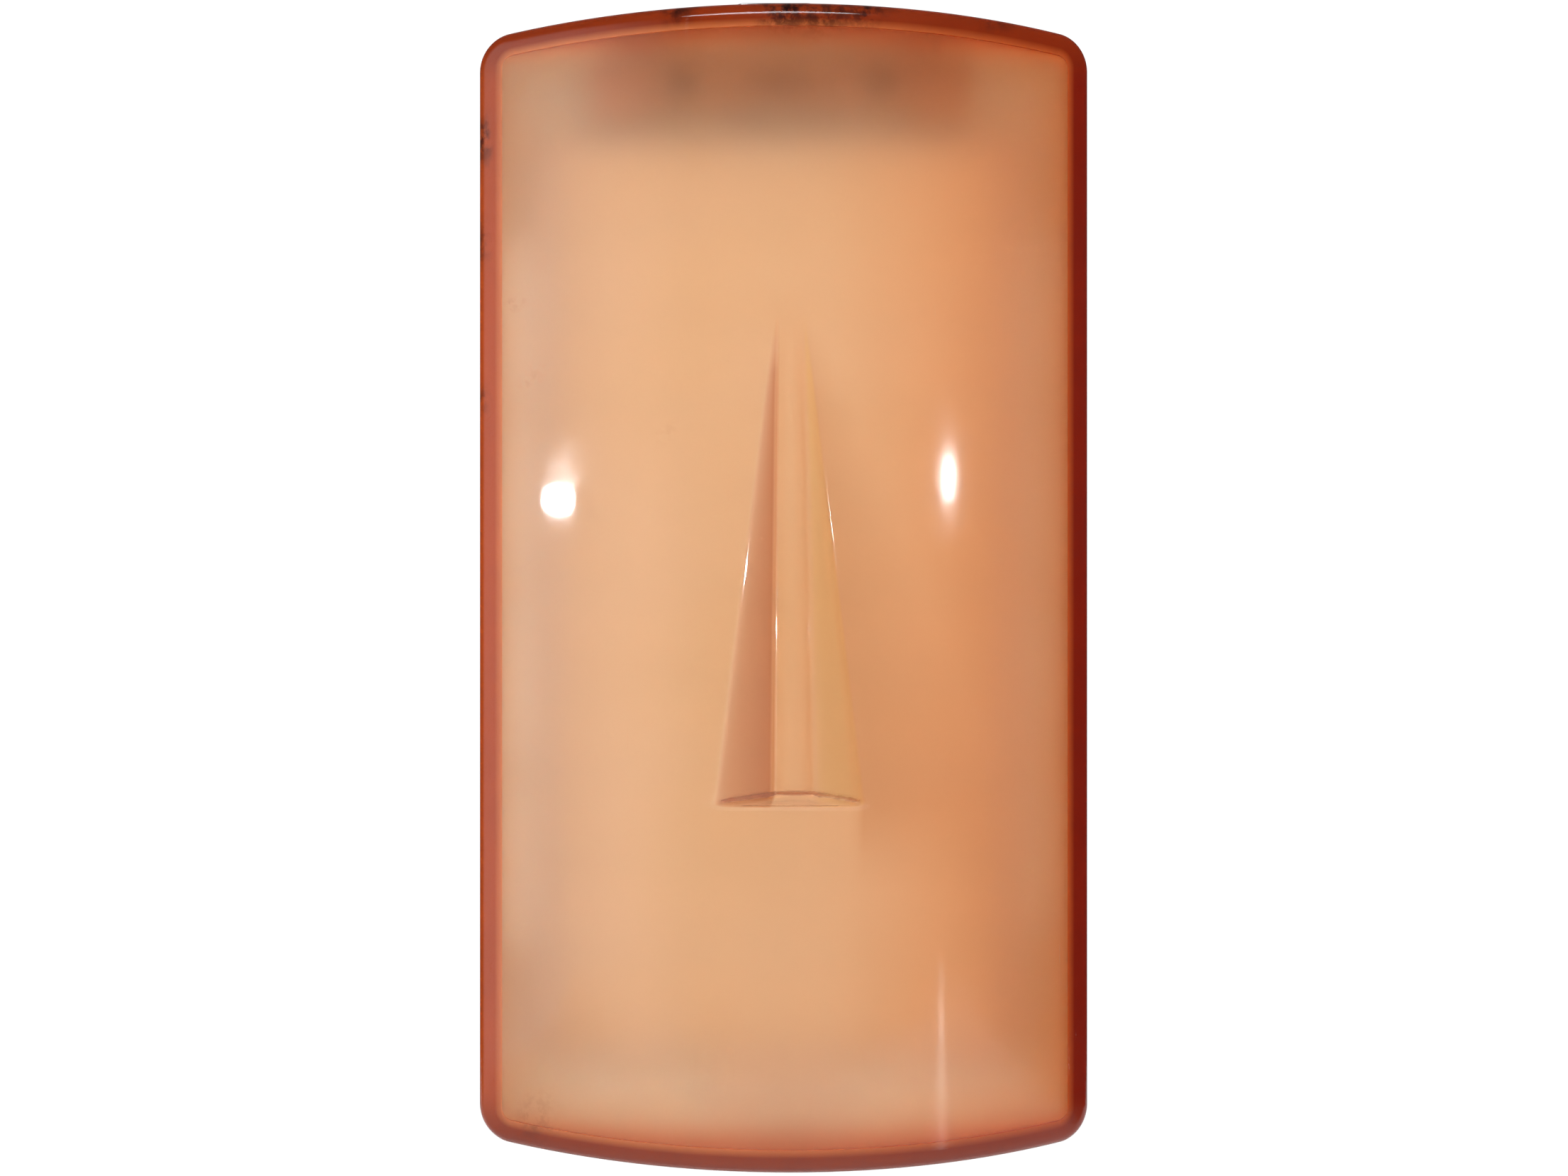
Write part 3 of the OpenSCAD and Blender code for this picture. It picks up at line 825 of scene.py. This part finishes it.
# the tint attribute's colour by place: painted shade on the wedge's left slope, painted light on its right
# slope, a painted shadow to the right of the wedge, and painted shade deepening it to the right and near
# the walls
tintShape = {
    "face": (1.0, 0.985, 0.97),
    "leftSlopeShade": (0.66, 0.42, 0.28),
    "rightSlopeLight": (1.02, 1.02, 0.86),
    "right": (1.0, 0.81, 0.68),
    "edge": (1.0, 0.82, 0.66),
    "edgeReach": 12 * mm,
    "edgeCurve": 1.6,
    "rightReach": (8 * mm, 56 * mm),
    "leftSlopeFoot": 0.42,
    "rightSlopeCurve": 8,
    "apexFade": 0.12,
    "footGap": 0.3 * mm,
    "overlap": 0.2 * mm,
    "slopeFade": 0.5 * mm,
    "rimFrost": 0.6,
    "flow": (0.88, 0.8, 0.74),
    "shadowReach": (3 * mm, 30 * mm),
    "shadowEnd": 1.15,
    "shadowFade": (0.2, 0.15),
    "shadowLead": 2 * mm,
}


def scaled(colour, tint, amount):
    return tuple(value * mix(1.0, part, amount) for value, part in zip(colour, tint))


# painted shade on the wedge's left slope and painted light on its right slope
def wedgeTint(x, z):
    bar, slopeTop, base = wedgeWidths(z)
    down = clamp((wedgeShape["top"] - z) / (wedgeShape["top"] - wedgeShape["foot"]))
    outer = base + tintShape["overlap"]
    if z > wedgeShape["top"] or z < wedgeShape["foot"] + tintShape["footGap"] or abs(x) > outer:
        return 0.0
    up = clamp((base - abs(x)) / (base - slopeTop))
    onSlope = clamp((abs(x) - bar) / (slopeTop - bar))
    fadeIn = clamp(down / tintShape["apexFade"])
    edge = clamp((outer - abs(x)) / tintShape["slopeFade"])
    share = mix(tintShape["leftSlopeFoot"], 1.0, up) if x < 0 else 1.0 - up ** tintShape["rightSlopeCurve"]
    return onSlope * fadeIn * edge * share


# a painted shadow that the wedge casts to its right
def castShadowTint(x, z):
    base = wedgeWidths(z)[2]
    down = (wedgeShape["top"] - z) / (wedgeShape["top"] - wedgeShape["foot"])
    if x < 0 or down < 0 or down > tintShape["shadowEnd"]:
        return 0.0
    away = max(x - base, 0) / mix(*tintShape["shadowReach"], clamp(down))
    fadeIn, fadeOut = tintShape["shadowFade"]
    ends = clamp(down / fadeIn) * clamp((tintShape["shadowEnd"] - down) / fadeOut)
    besideBase = clamp((x - base) / tintShape["shadowLead"] + 1)
    return clamp(1 - away) * ends * besideBase


# how strongly a place on the cover is marked by handling
def markStrength(x, z):
    found = 0.0
    for markX, markZ, reach, strength in handlingMarks:
        away = math.hypot(x - markX * mm, z - markZ * mm) / (reach * mm)
        found = max(found, strength * clamp(1.3 - away))
    return found


# how far the masks reach in from each surface
maskReach = {
    "front": 1.0 * mm,
    "side": 0.5 * mm,
    "rim": 1 * mm,
    "outside": 0.2 * mm,
}


def addCoverMasks(shell):
    mesh = shell.data
    shape = coverShape
    frost = mesh.attributes.new("frost", "FLOAT", "POINT")
    handling = mesh.attributes.new("handling", "FLOAT", "POINT")
    tint = mesh.attributes.new("tint", "FLOAT_COLOR", "POINT")
    for vertex in mesh.vertices:
        x, depth, z = vertex.co.x, -vertex.co.y, vertex.co.z
        inset = shape["halfWidth"] - abs(x)
        ez = shape["halfHeight"] - shape["endRadius"]
        inset = min(inset, shape["endRadius"] - math.hypot(x, abs(z) - ez))
        onFront = depth > frontDepth(x, z, 0) - maskReach["front"]
        onSide = inset < shape["wall"] - maskReach["side"]
        onRim = onSide and depth < shape["back"] + maskReach["rim"]
        rough = 0.0 if onFront or inset < maskReach["outside"] else 1.0
        frost.data[vertex.index].value = tintShape["rimFrost"] if onRim else rough
        handling.data[vertex.index].value = markStrength(x, z) if onFront or onSide else 0.0
        # painted shade on the wedge's left slope, painted light on its right slope
        onSlope = wedgeTint(x, z)
        colour = scaled(tintShape["face"], tintShape["leftSlopeShade"], onSlope if x < 0 else 0.0)
        colour = scaled(colour, tintShape["rightSlopeLight"], onSlope if x > 0 else 0.0)
        # the wedge's painted shadow, to its right
        colour = scaled(colour, tintShape["flow"], castShadowTint(x, z))
        # painted shade to the right of the cover and near its walls
        rightStart, rightEnd = tintShape["rightReach"]
        colour = scaled(colour, tintShape["right"], clamp((x - rightStart) / (rightEnd - rightStart)))
        nearEdge = clamp(1 - (inset - shape["wall"]) / tintShape["edgeReach"])
        colour = scaled(colour, tintShape["edge"], nearEdge ** tintShape["edgeCurve"])
        tint.data[vertex.index].color = (*colour, 1)


# the small parts of the cover have the plastic's plain tint and a smooth face
def addPlainTint(piece):
    tint = piece.data.attributes.new("tint", "FLOAT_COLOR", "POINT")
    for item in tint.data:
        item.color = (1, 1, 1, 1)


def makeCoverShell():
    shape = coverShape
    steps = shape["roundSteps"]
    outer, ring = frontGrid("coverShell", 0, 0, shape["edgeRound"])

    def outerRound(share):
        return lambda point, normal: roundedEdge(point, normal, 0, shape["edgeRound"], 0, share)

    def innerRound(share):
        return lambda point, normal: roundedEdge(
            point, normal, shape["wall"], shape["innerRound"], shape["skin"], share
        )

    def level(inset, above):
        return lambda point, normal: (inset, shape["back"] + above)

    rim = shape["rimRound"]
    loops = [outerRound(step / steps) for step in range(1, steps + 1)]
    loops += [level(0, 2 * mm), level(0, rim), level(0.3 * rim, 0.3 * rim), level(rim, 0)]
    loops += [level(shape["wall"] - rim, 0), level(shape["wall"] - 0.3 * rim, 0.3 * rim)]
    loops += [level(shape["wall"], rim), level(shape["wall"], 2 * mm)]
    loops += [innerRound(1 - step / steps) for step in range(0, steps + 1)]
    for placeOf in loops:
        ring = extrudeBorder(outer, ring, placeOf)
    inner = frontGrid("coverInside", shape["skin"], shape["wall"], shape["innerRound"])[0]
    shell = joinPieces([outer, inner], "coverShell")
    tidyMesh(shell)
    makeActive(shell)
    bpy.ops.object.shade_smooth()
    addCoverMasks(shell)
    return shell


# the walls' deep-coloured core, a closed ring just under the shell's surface; "inward" fades its
# colour towards the face
def makeRimCore():
    shape = coverShape
    gap = rimCore["gap"]
    table, border = frontLayout(lambda point, normal: 0.0)
    lastColumn, lastRow = len(table[0]) - 1, len(table) - 1
    walk = [(0, row) for row in range(lastRow)]
    walk += [(column, lastRow) for column in range(lastColumn)]
    walk += [(lastColumn, row) for row in range(lastRow, 0, -1)]
    walk += [(column, 0) for column in range(lastColumn, -1, -1)]
    inner = shape["wall"] - gap

    def under(inset, inward):
        return lambda point, normal: (inset, bulgeDepth((point - normal * inset).x, inward))

    def outerRound(share):
        return lambda point, normal: roundedEdge(point, normal, gap, shape["edgeRound"] - gap, gap, share)

    def wallFoot(inset):
        def placeOf(point, normal):
            return inset, max(shape["back"] + gap, bulgeDepth(point.x, gap) - rimCore["depth"])

        return placeOf

    reach, roundSteps = rimCore["reach"], rimCore["roundSteps"]
    fringe = [under(reach - step * rimCore["fringe"], gap) for step in range(rimCore["fringeSteps"])]
    profile = fringe + [outerRound(step / roundSteps) for step in range(roundSteps + 1)]
    lastOuter = len(profile)
    profile += [wallFoot(gap), wallFoot(inner)]
    profile += [under(inner, shape["skin"] + rimCore["under"]), under(reach, shape["skin"] - gap)]
    profile += [fringe[0]]
    deselectAll()
    bpy.ops.mesh.primitive_grid_add(x_subdivisions=len(walk) - 1, y_subdivisions=len(profile) - 1, size=0.2)
    core = newPiece("coverRimCore")
    for index, vertex in enumerate(core.data.vertices):
        point, normal = border[walk[index % len(walk)]]
        inset, depth = profile[index // len(walk)](point, normal)
        spot = point - normal * inset
        vertex.co = (spot.x, -depth, spot.y)
    inward = core.data.attributes.new("inward", "FLOAT", "POINT")
    handling = core.data.attributes.new("handling", "FLOAT", "POINT")
    for index, vertex in enumerate(core.data.vertices):
        handling.data[index].value = markStrength(vertex.co.x, vertex.co.z)
        level = index // len(walk)
        inward.data[index].value = 1.0 if level > lastOuter else clamp(1 - level / (len(fringe) - 1))
    tidyMesh(core)
    smoothByAngle(core)
    return core


# one bored knuckle with the web that runs forward onto the cover's top wall
def makeCoverKnuckle(side):
    shape = coverHinge
    middle = side * (shape["inner"] + shape["width"] / 2)
    spot = (middle, -shape["axis"], shape["height"])
    turned = (0, math.pi / 2, 0)
    deselectAll()
    bpy.ops.mesh.primitive_cylinder_add(
        vertices=48, radius=shape["radius"], depth=shape["width"], location=spot, rotation=turned
    )
    knuckle = newPiece("coverKnuckleLeft" if side < 0 else "coverKnuckleRight")
    bakePlace(knuckle)
    top = coverShape["halfHeight"]
    lift = shape["height"] - top
    shoulder, shoulderLift = shape["webShoulder"]
    tip, root = shape["axis"] + shape["webReach"], coverShape["back"] + shape["webStart"]
    outerDrop, innerDrop = shape["webDrop"]
    profile = [
        (shape["axis"], lift + shape["radius"]), (shape["axis"] + shoulder, lift + shoulderLift),
        (tip, -outerDrop), (tip, -innerDrop),
        (root, -innerDrop), (root, lift - shape["radius"]),
        (shape["axis"], lift - shape["radius"]),
    ]
    deselectAll()
    bpy.ops.mesh.primitive_circle_add(vertices=len(profile), radius=shape["radius"], fill_type="NGON")
    web = newPiece("knuckleWeb")
    for vertex, (depth, up) in zip(web.data.vertices, profile):
        vertex.co = (middle - shape["width"] / 2, -depth, top + up)
    bpy.ops.object.mode_set(mode="EDIT")
    bpy.ops.mesh.select_all(action="SELECT")
    bpy.ops.mesh.extrude_region_move(TRANSFORM_OT_translate={"value": (shape["width"], 0, 0)})
    bpy.ops.mesh.select_all(action="SELECT")
    bpy.ops.mesh.normals_make_consistent(inside=False)
    bpy.ops.object.mode_set(mode="OBJECT")
    deselectAll()
    bpy.ops.mesh.primitive_cylinder_add(
        vertices=48, radius=shape["bore"], depth=shape["width"] * 1.5, location=spot, rotation=turned
    )
    bore = newPiece("knuckleBore")
    bakePlace(bore)
    addModifier(knuckle, "BOOLEAN", operation="UNION", object=web, solver="EXACT")
    addModifier(knuckle, "BOOLEAN", operation="DIFFERENCE", object=bore, solver="EXACT")
    addModifier(knuckle, "BEVEL", width=shape["edgeRound"], segments=3, limit_method="ANGLE")
    applyModifiers(knuckle)
    for helper in (web, bore):
        bpy.data.objects.remove(helper)
    smoothByAngle(knuckle)
    return knuckle


def makeCoverLug():
    shape = coverHinge
    low = coverLow.z + shape["lugClear"]
    high = -coverShape["halfHeight"] + shape["lugSink"]
    deselectAll()
    bpy.ops.mesh.primitive_cube_add(size=1, location=(0, -sum(shape["lugDepth"]) / 2, (low + high) / 2))
    lug = newPiece("coverLug")
    lug.scale = (shape["lugWidth"], shape["lugDepth"][1] - shape["lugDepth"][0], high - low)
    bakePlace(lug)
    addModifier(lug, "BEVEL", width=shape["lugRound"], segments=3)
    applyModifiers(lug)
    smoothByAngle(lug)
    return lug


coverShell = makeCoverShell()
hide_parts("cover_shell")
place(makeRimCore(), "cover", amberCore())
smallCoverParts = [makeCoverKnuckle(-1), makeCoverKnuckle(1), makeCoverLug()]
for piece in smallCoverParts:
    addPlainTint(piece)
for piece in [coverShell] + smallCoverParts:
    place(piece, "cover", materials["amber_plastic"])
print("cover made,", len(coverShell.data.polygons), "faces")

# parts whose form the frame already has: each is copied, merged and given rounded edges of this width
roundedParts = {
    "tray_shell": 0.5 * mm,
    "hanger_plate": 0.3 * mm,
    "hanger_rivets": 0.35 * mm,
    "hinge_block": 0.5 * mm,
    "hinge_block_screws": 0.15 * mm,
    "hinge_pins": 0.3 * mm,
    "pin_clips": 0.15 * mm,
    "board_rail_left": 0.35 * mm,
    "board_rail_right": 0.35 * mm,
    "entry_grille_left": 0.25 * mm,
    "entry_grille_right": 0.25 * mm,
    "rim_seal": 0.35 * mm,
    "latch_screw": 0.12 * mm,
    "latch_washer": 0.08 * mm,
    "latch_button": 0.4 * mm,
    "sticky_board": 0.12 * mm,
    "lure_cage": 0.22 * mm,
    "lure_lid": 0.25 * mm,
    "lure_septum": 0.3 * mm,
}
bodyOf = {node: body for body, nodes in frame["record"]["behaviour"]["bodies"].items() for node in nodes}
slotOf = {part["node"]: part["material_slot"] for part in frame["record"]["subparts"]}


def makeRoundedPart(node, width):
    source = frame["nodes"][node]
    piece = source.copy()
    piece.data = source.data.copy()
    bpy.context.collection.objects.link(piece)
    makeActive(piece)
    words = node.split("_")
    piece = newPiece(words[0] + "".join(word.title() for word in words[1:]))
    bpy.ops.object.mode_set(mode="EDIT")
    bpy.ops.mesh.select_all(action="SELECT")
    bpy.ops.mesh.remove_doubles(threshold=mergeDistance)
    bpy.ops.mesh.dissolve_limited(angle_limit=math.radians(1.0))
    bpy.ops.object.mode_set(mode="OBJECT")
    addModifier(
        piece, "BEVEL", width=width, segments=3, limit_method="ANGLE", angle_limit=math.radians(40)
    )
    applyModifiers(piece)
    smoothByAngle(piece)
    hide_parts(node)
    place(piece, bodyOf[node], materials[slotOf[node]])


for node, width in roundedParts.items():
    makeRoundedPart(node, width)
print("rounded parts made:", len(roundedParts))

# the waves are in radians per metre, and the lean bends them
glueShape = {
    "columns": 48,
    "rows": 100,
    "ripple": 0.06 * mm,
    "fringe": 1.6 * mm,
    "base": 0.02 * mm,
    "waves": (190, 130),
    "bends": (60, 90),
    "lean": (2.1, 1.7),
}


# the glue as a film with rounded shores and a slightly uneven face
def makeGlue():
    low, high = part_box("glue_film")
    shape = glueShape
    width, height = high.x - low.x, high.z - low.z
    deselectAll()
    bpy.ops.mesh.primitive_grid_add(
        x_subdivisions=shape["columns"], y_subdivisions=shape["rows"], size=1, rotation=(math.pi / 2, 0, 0)
    )
    film = newPiece("glueFilm")
    bakePlace(film)
    thickness = high.y - low.y
    (waveX, waveZ), (bendZ, bendX), (leanX, leanZ) = shape["waves"], shape["bends"], shape["lean"]
    for vertex in film.data.vertices:
        x, z = vertex.co.x * width, vertex.co.z * height + (low.z + high.z) / 2
        inset = min(width / 2 - abs(x), z - low.z, high.z - z)
        shore = math.sqrt(clamp(inset / shape["fringe"]))
        across = math.sin(x * waveX + leanX * math.sin(z * bendZ))
        wave = across * math.sin(z * waveZ + leanZ * math.sin(x * bendX))
        lift = (thickness - shape["ripple"] * (1 - wave)) * shore
        vertex.co = (x, high.y - shape["base"] - max(lift - shape["base"], 0), z)
    makeActive(film)
    bpy.ops.object.shade_smooth()
    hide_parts("glue_film")
    place(film, "board", materials["glue"])


makeGlue()
print("glue film made")

# "sky" lights the part; what gloss mirrors of it is dimmer, with a glow to the left and from below
studio = {
    "distance": 533 * mm,
    "aside": -38 * mm,
    "lens": 54.5,
    "shift": 0.1135,
    "skyStrength": 1.06,
    "skyMirrored": 0.06,
    "glowSide": (-0.8, -0.58, -0.14),
    "glowReach": (0.72, 1.0),
    "glowMirrored": 1.6,
    "belowReach": (0.42, 0.75),
    "belowMirrored": 0.7,
    "floorHeight": -0.45,
    "floorMiddle": -0.3,
    "floorSize": (3, 2.8, 1),
    "floorColour": (0.86, 0.86, 0.85, 1),
}
# each lamp: name, place, width and height, and power
lamps = (
    ("leftLamp", (-0.192, -0.175, 0.026), (0.032, 0.007), 0.24),
    ("rightLamp", (0.189, -0.235, 0.0345), (0.013, 0.006), 0.045),
    ("upperSoftbox", (0, -0.94, 0.62), (0.7, 0.2), 3.7),
    ("lowerSoftbox", (0, -0.94, -0.62), (0.7, 0.2), 3.7),
    ("lowLamp", (0.273, -0.36, -0.18), (0.012, 0.08), 0.009),
)


def makeCamera():
    spot = (studio["aside"], -studio["distance"], 0)
    bpy.ops.object.camera_add(location=spot, rotation=(math.pi / 2, 0, 0))
    camera = bpy.context.object
    camera.data.lens = studio["lens"]
    camera.data.sensor_width = 36
    camera.data.shift_x = studio["shift"]
    camera.data.clip_start = 0.01
    bpy.context.scene.camera = camera


def makeLamp(name, spot, size, power):
    bpy.ops.object.light_add(type="AREA", location=spot)
    lamp = bpy.context.object
    lamp.name = name
    lamp.data.shape = "ELLIPSE"
    lamp.data.size, lamp.data.size_y = size
    lamp.data.energy = power
    lamp.rotation_euler = (-Vector(spot)).to_track_quat("-Z", "Y").to_euler()
    lamp.visible_camera = False


def makeWorld():
    world = bpy.data.worlds.new("studioWorld")
    bpy.context.scene.world = world
    world.use_nodes = True
    tree = world.node_tree
    background = tree.nodes["Background"]
    background.inputs["Color"].default_value = (1, 1, 1, 1)
    path = addNode(tree, "LightPath")
    mirrored = mathNode(tree, "MULTIPLY", path.outputs["Is Glossy Ray"], path.outputs["Is Reflection Ray"])
    coordinates = addNode(tree, "TexCoord")

    def towards(direction):
        node = addNode(tree, "VectorMath", operation="DOT_PRODUCT")
        tree.links.new(coordinates.outputs["Generated"], node.inputs[0])
        node.inputs[1].default_value = Vector(direction).normalized()
        return node.outputs["Value"]

    levels = (studio["skyMirrored"], studio["glowMirrored"])
    glow = rampNode(tree, towards(studio["glowSide"]), *studio["glowReach"], *levels)
    below = rampNode(tree, towards((0, 0, -1)), *studio["belowReach"], 0.0, studio["belowMirrored"])
    glow = mathNode(tree, "MAXIMUM", glow, below)
    strength = rampNode(tree, mirrored, 0, 1, studio["skyStrength"], glow)
    tree.links.new(strength, background.inputs["Strength"])


def makeFloor():
    deselectAll()
    spot = (0, studio["floorMiddle"], studio["floorHeight"])
    bpy.ops.mesh.primitive_plane_add(size=1, location=spot)
    floor = newPiece("studioFloor")
    floor.scale = studio["floorSize"]
    bakePlace(floor)
    material, tree, shader = newMaterial("paleFloor")
    shader.inputs["Base Color"].default_value = studio["floorColour"]
    shader.inputs["Roughness"].default_value = 0.8
    setMaterial(floor, material)


makeCamera()
makeWorld()
makeFloor()
for lamp in lamps:
    makeLamp(*lamp)
bpy.context.scene.view_settings.view_transform = "Standard"
print("studio made")
